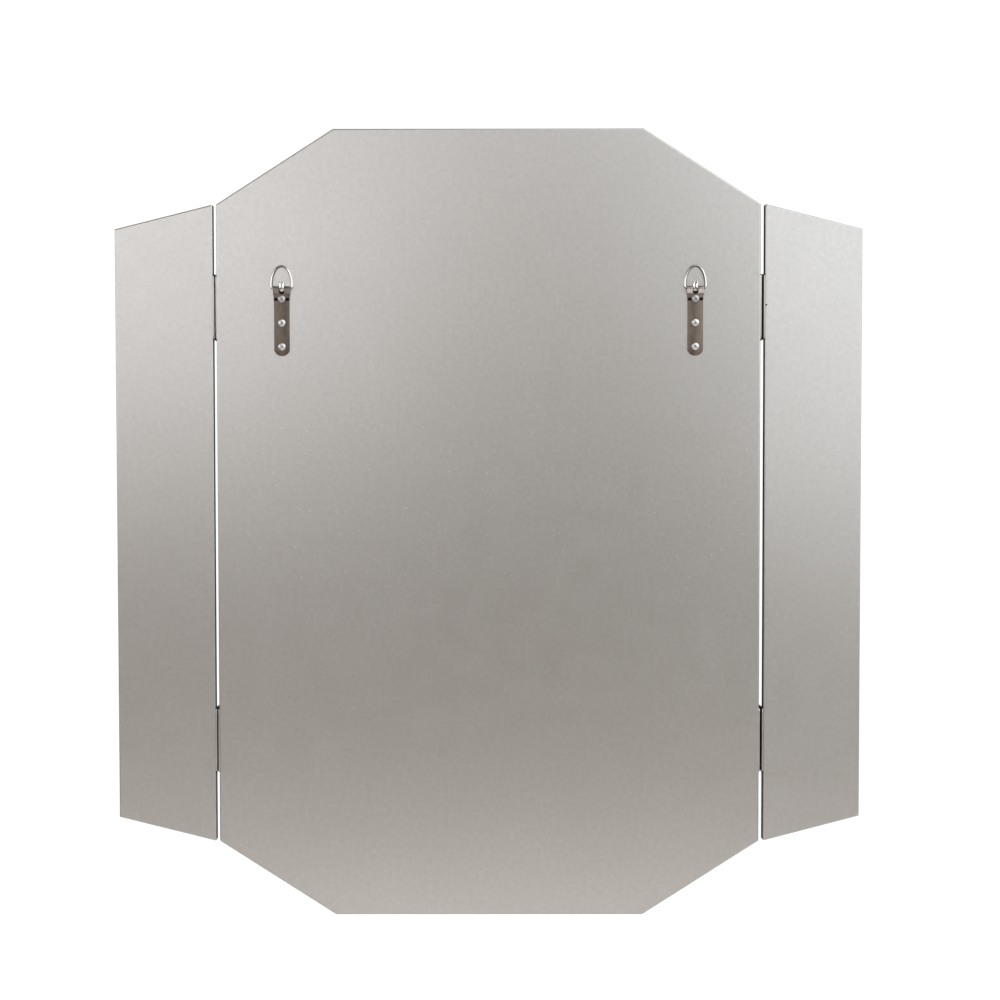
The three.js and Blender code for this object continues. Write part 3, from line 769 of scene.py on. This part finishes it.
def leaf_screw_places(side, first_knuckle):
    """The three screws of a leaf about its pin's axis, read from the frame's flat right-hand hinge."""
    which = "wing" if first_knuckle else "centre"
    axis = JOINTS["right_wing_fold"]["pos_m"]
    leaf_low, leaf_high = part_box("right_upper_hinge_centre_leaf")
    middle = (leaf_low.z + leaf_high.z) / 2
    places = []
    for i in (1, 2, 3):
        low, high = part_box(f"right_upper_hinge_{which}_screw_{i}")
        centre = (low + high) / 2
        places.append((side * KNUCKLE_RADIUS, centre.y - axis[1], centre.z - middle))
    return places


def recess(depth, reach, width):
    """A cross-shaped plug that narrows towards its bottom, with its mouth at Z = 0."""
    def cross(scale, z):
        arm, half = reach * scale, width / 2 * (0.5 + scale / 2)
        points = []
        for turn in range(4):
            for x, y in ((half, half), (half, arm), (-half, arm)):
                spun = Matrix.Rotation(turn * math.pi / 2, 2) @ Vector((x, y))
                points.append((spun.x, spun.y, z))
        return points
    return loft([cross(0.35, -depth), cross(1.0, 0), cross(1.15, depth)])


def leaf_screw_shape(turn):
    """A countersunk wood screw about Z, with the leaf's face at Z = 0."""
    low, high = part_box("right_upper_hinge_centre_screw_2")
    length = high.x - low.x - LEAF_SCREW_PROUD
    cone = LEAF_SCREW_HEAD - LEAF_SCREW_SHANK
    body = turned([
        (0, -length), (LEAF_SCREW_SHANK * 0.3, -length + SCREW_POINT * 0.15),
        (LEAF_SCREW_SHANK, -length + SCREW_POINT), (LEAF_SCREW_SHANK, -cone), (LEAF_SCREW_HEAD, 0),
        (LEAF_SCREW_HEAD, LEAF_SCREW_PROUD * 0.4), (LEAF_SCREW_HEAD * 0.9, LEAF_SCREW_PROUD * 0.85),
        (LEAF_SCREW_HEAD * 0.5, LEAF_SCREW_PROUD), (0, LEAF_SCREW_PROUD),
    ])
    plug = recess(RECESS_DEPTH, LEAF_SCREW_HEAD * 0.6, LEAF_SCREW_HEAD * RECESS_WIDTH_SHARE)
    plug = plug.moved(Matrix.Translation((0, 0, LEAF_SCREW_PROUD)) @ Matrix.Rotation(turn, 4, "Z"))
    return combined("screw", body, "DIFFERENCE", plug)


def pin_shape():
    low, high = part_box("right_upper_hinge_pin")
    half = (high.z - low.z) / 2
    seat = half - PIN_CAP_HEIGHT
    cap = arc((seat, 0), (PIN_CAP_HEIGHT, PIN_CAP_RADIUS), math.pi / 2, 0, CAP_STEPS)
    upper = [(PIN_RADIUS, seat)] + [(r, z) for z, r in cap]
    lower = [(r, -z) for r, z in reversed(upper)]
    return turned(lower + upper)


def make_hinge(side_name, level, side, fold):
    hinge = f"{side_name}_{level}_hinge"
    axis = Vector(JOINTS[f"{side_name}_wing_fold"]["pos_m"])
    low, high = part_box(f"{hinge}_pin")
    height = (low.z + high.z) / 2
    middle = Matrix.Translation((axis.x, axis.y, height))
    make_piece(f"{hinge}_pin", PIN_SHAPE, [PIN_METAL], middle)
    for which, face, place in (("centre", 1, middle), ("wing", -1, middle @ fold)):
        leaf_side = -side * face
        first_knuckle = 0 if face > 0 else 1
        make_piece(f"{hinge}_{which}_leaf", LEAF_SHAPES[leaf_side, first_knuckle], [LEAF_METAL], place)
        for i, (_, y, z) in enumerate(leaf_screw_places(leaf_side, first_knuckle)):
            seat = Matrix.Translation((leaf_side * (KNUCKLE_RADIUS - LEAF_THICKNESS), y, z))
            aim = Matrix.Rotation(-leaf_side * math.pi / 2, 4, "Y")
            make_piece(f"{hinge}_{which}_screw_{i + 1}", LEAF_SCREW_SHAPES[i], [HINGE_SCREW_METAL],
                       place @ seat @ aim)


# --- Hangers -------------------------------------------------------------------------------

def strap_shape(bar_y, board_gap):
    """The bent strip: tail up the board, loops over the ring's bar, and a tongue folded down.
    Its frame has the bar's axis at Z = 0 and the board's back face at Y = 0."""
    tail_y = board_gap + STRAP_GAUGE / 2
    tongue_y = tail_y + STRAP_GAUGE + TONGUE_GAP
    foot = Vector((tongue_y, -TONGUE_FOOT_DROP))
    bar = Vector((bar_y, 0))
    to_bar = bar - foot
    line = []
    arc_radius = (STRAP_HALF_WIDTH ** 2 + TAIL_SAGITTA ** 2) / (2 * TAIL_SAGITTA)
    arc_angle = math.asin(STRAP_HALF_WIDTH / arc_radius)
    for i in range(TAIL_STEPS + 1):
        angle = arc_angle * i / TAIL_STEPS
        height = -STRAP_TAIL + arc_radius * (1 - math.cos(angle))
        line.append((tail_y, height, arc_radius * math.sin(angle)))
    shank = STRAP_TAIL - TAIL_SAGITTA - FLARE_DROP
    for i in range(1, SHANK_STEPS + 1):
        height = -STRAP_TAIL + TAIL_SAGITTA + shank * i / SHANK_STEPS
        line.append((tail_y, height, STRAP_HALF_WIDTH))
    for i in range(1, FLARE_STEPS + 1):
        share = i / FLARE_STEPS
        width = STRAP_HALF_WIDTH + (LOOP_HALF_WIDTH - STRAP_HALF_WIDTH) * share
        line.append((tail_y, -FLARE_DROP * (1 - share), width))
    tangent = math.acos(LOOP_RADIUS / to_bar.length)
    from_bar = math.atan2(foot.y - bar.y, foot.x - bar.x)
    touch_angle = from_bar + tangent
    for y, z in arc(bar, (LOOP_RADIUS,) * 2, math.pi, touch_angle, LOOP_STEPS)[1:]:
        line.append((y, z, LOOP_HALF_WIDTH))
    touch = Vector(line[-1][:2])
    for i in range(1, SLOPE_STEPS + 1):
        point = touch.lerp(foot, i / SLOPE_STEPS)
        line.append((point.x, point.y, LOOP_HALF_WIDTH))
    flat = TONGUE_DROP - TONGUE_FOOT_DROP - TONGUE_LIP
    for i in range(1, TONGUE_STEPS + 1):
        share = i / TONGUE_STEPS
        width = LOOP_HALF_WIDTH + (TONGUE_HALF_END - LOOP_HALF_WIDTH) * share
        line.append((tongue_y, -TONGUE_FOOT_DROP - flat * share, width))
    thinning = [0.0] * (len(line) - 1)
    for i in range(LIP_STEPS + 1):
        angle = math.pi / 2 * i / LIP_STEPS
        thinning.append(LIP_THINNING * (1 - math.cos(angle)))
        if i > 0:
            line.append((tongue_y, -TONGUE_DROP + TONGUE_LIP * (1 - math.sin(angle)), TONGUE_HALF_END))
    return strip(line, thinning)


def notch_half_width(height, drop):
    """Half the slot between the two loops at a height from the bar; 0 where the strip is whole."""
    depth = height + drop
    if depth <= 0:
        return 0.0
    if depth >= NOTCH_HALF_WIDTH:
        return NOTCH_HALF_WIDTH
    return math.sqrt(NOTCH_HALF_WIDTH ** 2 - (NOTCH_HALF_WIDTH - depth) ** 2)


def strip(line, thinning):
    """A solid strip with the strap's gauge along a line of (y, z, half width), with the notch. Its
    outer face sinks by the thinning, in half gauges."""
    middle = [Vector((y, z)) for y, z, _ in line]
    verts, faces = [], []
    notches = []
    for i, point in enumerate(middle):
        before = middle[max(i - 1, 0)]
        after = middle[min(i + 1, len(middle) - 1)]
        along = (after - before).normalized()
        out = Vector((-along.y, along.x)) * STRAP_GAUGE / 2
        behind = point.x < middle[0].x + STRAP_GAUGE / 2 and i < len(line) / 2
        inner = notch_half_width(point.y, TAIL_NOTCH_DROP if behind else NOTCH_DROP)
        notches.append(inner)
        for x in (inner, line[i][2]):
            for face in (1 - thinning[i], -1):
                place = point + out * face
                verts.append((x, place.x, place.y))
    for i in range(len(line) - 1):
        a, b = 4 * i, 4 * i + 4
        faces += [(a, a + 2, b + 2, b), (a + 3, a + 1, b + 1, b + 3), (a + 2, a + 3, b + 3, b + 2)]
        if notches[i] > 0 or notches[i + 1] > 0:
            faces.append((a + 1, a, b, b + 1))
    last = 4 * (len(line) - 1)
    faces += [(0, 1, 3, 2), (last + 1, last, last + 2, last + 3)]
    half = Shape(verts, faces)
    return gathered([half, half.moved(Matrix.Scale(-1, 4, (1, 0, 0)))])


def drilled_strap(bar_y, board_gap, screw_drops):
    radius = STRAP_SCREW_SHANK + KNUCKLE_GAP
    far = 5 * STRAP_GAUGE
    holes = []
    for drop in screw_drops:
        hole = turned([(0, -STRAP_GAUGE), (radius, -STRAP_GAUGE), (radius, far), (0, far)], WIRE_SIDES)
        holes.append(hole.moved(Matrix.Translation((0, 0, drop)) @ Matrix.Rotation(-math.pi / 2, 4, "X")))
    blank = softened("strap", strap_shape(bar_y, board_gap), STRAP_ARRIS)
    return combined("strap", blank, "DIFFERENCE", gathered(holes))


def ring_line():
    """The D-ring's wire in X and Z about its bar: prong, bar, corner, side, arch and back."""
    quarter = math.pi / 2
    bend_x = PRONG_OFFSET + PRONG_BEND
    corner_x = RING_HALF_WIDTH - RING_CORNER
    half = [(PRONG_OFFSET + PRONG_SPLAY * share, PRONG_HEIGHT * share) for share in (1, 0.5)]
    half += arc((bend_x, PRONG_BEND), (PRONG_BEND,) * 2, math.pi, 3 * quarter, PRONG_STEPS)
    half += [(bend_x + (corner_x - bend_x) * i / BAR_STEPS, 0) for i in range(1, BAR_STEPS)]
    half += arc((corner_x, RING_CORNER), (RING_CORNER,) * 2, -quarter, 0, RING_CORNER_STEPS)
    half += [(RING_HALF_WIDTH, (RING_CORNER + RING_SHOULDER) / 2)]
    arch_radii = (RING_HALF_WIDTH, RING_HEIGHT - RING_SHOULDER)
    arch = arc((0, RING_SHOULDER), arch_radii, 0, math.pi, ARCH_STEPS)
    return half + arch + [(-x, z) for x, z in reversed(half)]


def ring_shape():
    """The wire swept along its line. Each end is rounded by three sections: how far each is set back,
    in half radii, and its share of the wire's radius."""
    line = [Vector((x, 0, z)) for x, z in ring_line()]
    rings = []
    ends = [(0.0, 0.45), (0.35, 0.85), (1.0, 1.0)]
    count = len(line)
    for i, point in enumerate(line):
        along = (line[min(i + 1, count - 1)] - line[max(i - 1, 0)]).normalized()
        across = along.cross(Vector((0, 1, 0)))
        if i in (0, count - 1):
            steps = ends if i == 0 else ends[::-1]
            for setback, share in steps:
                inward = along if i == 0 else -along
                centre = point + inward * WIRE_RADIUS * 0.5 * setback
                rings.append(wire_section(centre, across, WIRE_RADIUS * share))
        else:
            rings.append(wire_section(point, across, WIRE_RADIUS))
    return loft(rings)


def wire_section(centre, across, radius):
    section = []
    for i in range(WIRE_SIDES):
        angle = 2 * math.pi * i / WIRE_SIDES
        section.append(centre + (across * math.cos(angle) + Vector((0, 1, 0)) * math.sin(angle)) * radius)
    return section


def strap_screw_shape(turn):
    """A pan-head wood screw about Z; its head sits on the strap at Z = 0."""
    low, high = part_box("left_hanger_screw_2")
    length = high.y - low.y - STRAP_SCREW_HEIGHT
    dome = arc((0, STRAP_SCREW_RIM), (STRAP_SCREW_HEAD, STRAP_SCREW_HEIGHT - STRAP_SCREW_RIM),
               0, math.pi / 2, DOME_STEPS)
    body = turned([
        (0, -length), (STRAP_SCREW_SHANK * 0.3, -length + SCREW_POINT * 0.15),
        (STRAP_SCREW_SHANK, -length + SCREW_POINT), (STRAP_SCREW_SHANK, -STRAP_SCREW_SEAT),
        (STRAP_SCREW_HEAD * 0.96, -STRAP_SCREW_SEAT), (STRAP_SCREW_HEAD, 0), *dome,
    ])
    plug = recess(RECESS_DEPTH, STRAP_SCREW_HEAD * 0.55, STRAP_SCREW_HEAD * RECESS_WIDTH_SHARE)
    plug = plug.moved(Matrix.Translation((0, 0, STRAP_SCREW_HEIGHT)) @ Matrix.Rotation(turn, 4, "Z"))
    return combined("screw", body, "DIFFERENCE", plug)


def make_hanger(side_name, turns):
    bar = Vector(JOINTS[f"{side_name}_ring_swing"]["pos_m"])
    strap_low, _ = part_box(f"{side_name}_hanger_strap")
    screws = [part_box(f"{side_name}_hanger_screw_{i}") for i in (1, 2, 3)]
    drops = [(low.z + high.z) / 2 - bar.z for low, high in screws]
    strap = drilled_strap(bar.y, strap_low.y, drops)
    make_piece(f"{side_name}_hanger_strap", strap, [STRAP_METALS[side_name]],
               Matrix.Translation((bar.x, 0, bar.z)))
    lean = Matrix.Translation(bar) @ Matrix.Rotation(RING_LEAN, 4, "X")
    make_piece(f"{side_name}_hanger_ring", RING_SHAPE, [RING_WIRE], lean)
    upright = Matrix.Rotation(-math.pi / 2, 4, "X")
    for i, (low, high) in enumerate(screws):
        seat = Matrix.Translation((bar.x, high.y - STRAP_SCREW_HEIGHT, bar.z + drops[i]))
        make_piece(f"{side_name}_hanger_screw_{i + 1}", strap_screw_shape(turns[i]),
                   [DULL_SCREW if i == 0 else BRIGHT_SCREW], seat @ upright)


# --- The object ----------------------------------------------------------------------------

SILVER = silver_paint("silver_paint")
GLINTED_SILVER = silver_paint("glinted_silver_paint", painted_glints=True)
CHIPPED_SILVER = silver_paint("chipped_silver_paint", CHIP_PLACE)
BOND = bond_sheet()
GLASS_FRONT = mirror_front()
GLASS_EDGE = glass_edge()
GLASS_BACK = glass_back()
LEAF_METAL = sprayed_leaf()
PIN_METAL = metal("pin_metal", (0.16, 0.14, 0.12), (0.30, 0.265, 0.235), roughness=(0.28, 0.42),
                  lump=6 * MM, scratch=0.5 * MM, bump_height=0.01 * MM)
HINGE_SCREW_METAL = metal("hinge_screw_metal", (0.34, 0.30, 0.27), (0.52, 0.47, 0.43),
                          roughness=(0.2, 0.32), lump=3 * MM, scratch=0.4 * MM, bump_height=0.008 * MM)
STRAP_METALS = {
    "left": strap_metal("left_strap_metal", 1.12, 0.9),
    "right": strap_metal("right_strap_metal", 0.85, 0.25),
}
RING_WIRE = ring_wire()
BRIGHT_SCREW = metal("bright_screw", (0.72, 0.72, 0.72), (0.84, 0.84, 0.84), roughness=(0.34, 0.44),
                     lump=3 * MM, scratch=0.3 * MM, bump_height=0.004 * MM,
                     recess_mouth=STRAP_SCREW_HEIGHT)
DULL_SCREW = metal("dull_screw", (0.48, 0.48, 0.495), (0.62, 0.62, 0.64), roughness=(0.36, 0.46),
                   lump=3 * MM, scratch=0.3 * MM, bump_height=0.004 * MM,
                   recess_mouth=STRAP_SCREW_HEIGHT)

LEAF_SHAPES = {(s, k): leaf_shape(s, k) for s, k in ((-1, 0), (1, 1), (1, 0), (-1, 1))}
LEAF_SCREW_SHAPES = [leaf_screw_shape(turn) for turn in (0.2, 0.95, 1.3)]
PIN_SHAPE = pin_shape()
RING_SHAPE = ring_shape()

make_panel("centre", centre_corners(), mortises(-1, "centre") + mortises(1, "centre"),
           Matrix.Identity(4), GLINTED_SILVER)
for wing_name, wing_side, wing_paint in (("left", -1, CHIPPED_SILVER), ("right", 1, SILVER)):
    joint = JOINTS[f"{wing_name}_wing_fold"]
    rest_fold = math.radians(-joint["range_deg"][0]) * joint["axis"][2]
    turn_about_pin = Matrix.Rotation(rest_fold, 4, "Z")
    pin_place = Matrix.Translation(joint["pos_m"])
    make_panel(f"{wing_name}_wing", wing_corners(wing_side), mortises(wing_side, "wing"),
               pin_place @ turn_about_pin @ pin_place.inverted(), wing_paint)
    for level in ("upper", "lower"):
        make_hinge(wing_name, level, wing_side, turn_about_pin)
make_hanger("left", turns=(0.5, 0.15, 1.1))
make_hanger("right", turns=(0.9, 0.35, 0.75))


# --- Stage ---------------------------------------------------------------------------------

PANEL_LOW, PANEL_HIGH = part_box("centre_board")
PANEL_MIDDLE = (PANEL_LOW + PANEL_HIGH) / 2
FLOOR_DROP = 1.15
FLOOR_RADIUS = 3.5
FLOOR_FADE_FROM = 1.6
FLOOR_SIDES = 96
SOFTBOX_DISTANCE = 3.0
LENS = 80
SENSOR_WIDTH = 36
CAMERA_PLACE = (-0.022, 2.578, -0.1516)
CAMERA_DEGREES = (87.379, 0.055, 180.195)


def make_floor():
    """A pale round floor that melts into the background towards its rim."""
    z = PANEL_LOW.z - FLOOR_DROP
    rim = [(x, y, z) for x, y in arc((0, 0), (FLOOR_RADIUS,) * 2, 0, 2 * math.pi, FLOOR_SIDES)[:-1]]
    floor = new_object("floor", Shape(rim, [tuple(range(FLOOR_SIDES))]))
    surface = Surface("floor", Roughness=0.7)
    surface.set("Base Color", surface.mix(surface.noise(0.5, 2), (0.80, 0.80, 0.80), (0.82, 0.82, 0.82)))
    nodes, links = surface.nodes, surface.links
    fade = surface.ranged(surface.reach((0, 0, z)), FLOOR_FADE_FROM, FLOOR_RADIUS * 0.98)
    clear = nodes.new("ShaderNodeBsdfTransparent")
    mixed = nodes.new("ShaderNodeMixShader")
    links.new(fade, mixed.inputs[0])
    links.new(surface.shader.outputs[0], mixed.inputs[1])
    links.new(clear.outputs[0], mixed.inputs[2])
    links.new(mixed.outputs[0], nodes["Material Output"].inputs["Surface"])
    floor.data.materials.append(surface.material)


def make_softbox(name, towards, size, radiance, colour):
    """A soft light that looks at the panel from a direction: degrees from +Y towards +X, and up."""
    azimuth, elevation = (math.radians(angle) for angle in towards)
    direction = Vector((math.sin(azimuth) * math.cos(elevation), math.cos(azimuth) * math.cos(elevation),
                        math.sin(elevation)))
    light = bpy.data.lights.new(name, "AREA")
    light.shape = "RECTANGLE"
    light.size, light.size_y = size
    light.energy = radiance * math.pi * size[0] * size[1]
    light.color = colour
    box = bpy.data.objects.new(name, light)
    box.location = PANEL_MIDDLE + direction * SOFTBOX_DISTANCE
    box.rotation_euler = direction.to_track_quat("Z", "Y").to_euler()
    box.visible_camera = False
    bpy.context.scene.collection.objects.link(box)


def make_world():
    """White to the camera. To everything else a dim room behind the camera and, on the mirrors'
    side, a wall that is lighter below than above."""
    world = bpy.data.worlds.new("studio")
    world.use_nodes = True
    bpy.context.scene.world = world
    nodes, links = world.node_tree.nodes, world.node_tree.links
    nodes.clear()
    place = nodes.new("ShaderNodeTexCoord")
    split = nodes.new("ShaderNodeSeparateXYZ")
    links.new(place.outputs["Generated"], split.inputs[0])
    height = nodes.new("ShaderNodeMapRange")
    height.inputs["From Min"].default_value = -1
    links.new(split.outputs["Z"], height.inputs["Value"])
    wall = nodes.new("ShaderNodeValToRGB")
    links.new(height.outputs["Result"], wall.inputs["Fac"])
    stops = wall.color_ramp.elements
    stops[0].position, stops[0].color = 0.0, (0.5, 0.5, 0.5, 1)
    stops[1].position, stops[1].color = 1.0, (0.45, 0.45, 0.45, 1)
    for position, level in ((0.36, 0.85), (0.47, 0.62), (0.57, 0.36), (0.75, 0.5)):
        stops.new(position).color = (level * 0.99, level, level * 1.01, 1)
    side = nodes.new("ShaderNodeMapRange")
    side.inputs["From Min"].default_value = 0.35
    side.inputs["From Max"].default_value = -0.35
    links.new(split.outputs["Y"], side.inputs["Value"])
    room = nodes.new("ShaderNodeMix")
    room.data_type = "RGBA"
    links.new(side.outputs["Result"], room.inputs[0])
    room.inputs[6].default_value = (0.125, 0.094, 0.05, 1)
    links.new(wall.outputs["Color"], room.inputs[7])
    lit = nodes.new("ShaderNodeBackground")
    links.new(room.outputs[2], lit.inputs["Color"])
    white = nodes.new("ShaderNodeBackground")
    white.inputs["Color"].default_value = (1, 1, 1, 1)
    white.inputs["Strength"].default_value = 1.05
    path = nodes.new("ShaderNodeLightPath")
    mixed = nodes.new("ShaderNodeMixShader")
    output = nodes.new("ShaderNodeOutputWorld")
    links.new(path.outputs["Is Camera Ray"], mixed.inputs[0])
    links.new(lit.outputs[0], mixed.inputs[1])
    links.new(white.outputs[0], mixed.inputs[2])
    links.new(mixed.outputs[0], output.inputs["Surface"])


def make_camera():
    camera = bpy.data.objects.new("camera", bpy.data.cameras.new("camera"))
    camera.data.lens = LENS
    camera.data.sensor_width = SENSOR_WIDTH
    camera.location = CAMERA_PLACE
    camera.rotation_euler = tuple(math.radians(angle) for angle in CAMERA_DEGREES)
    bpy.context.scene.collection.objects.link(camera)
    bpy.context.scene.camera = camera


make_floor()
make_softbox("softbox_left", towards=(43.4, 13.3), size=(5.0, 1.4), radiance=1.55,
             colour=(1.0, 0.99, 1.02))
make_softbox("softbox_right", towards=(-47.8, 31), size=(5.0, 4.1), radiance=1.555,
             colour=(0.97, 1.0, 1.033))
make_softbox("softbox_low", towards=(-7, -25.3), size=(6.0, 0.25), radiance=2.95,
             colour=(1.05, 1.0, 0.983))
make_world()
make_camera()
bpy.context.scene.view_settings.view_transform = "Standard"
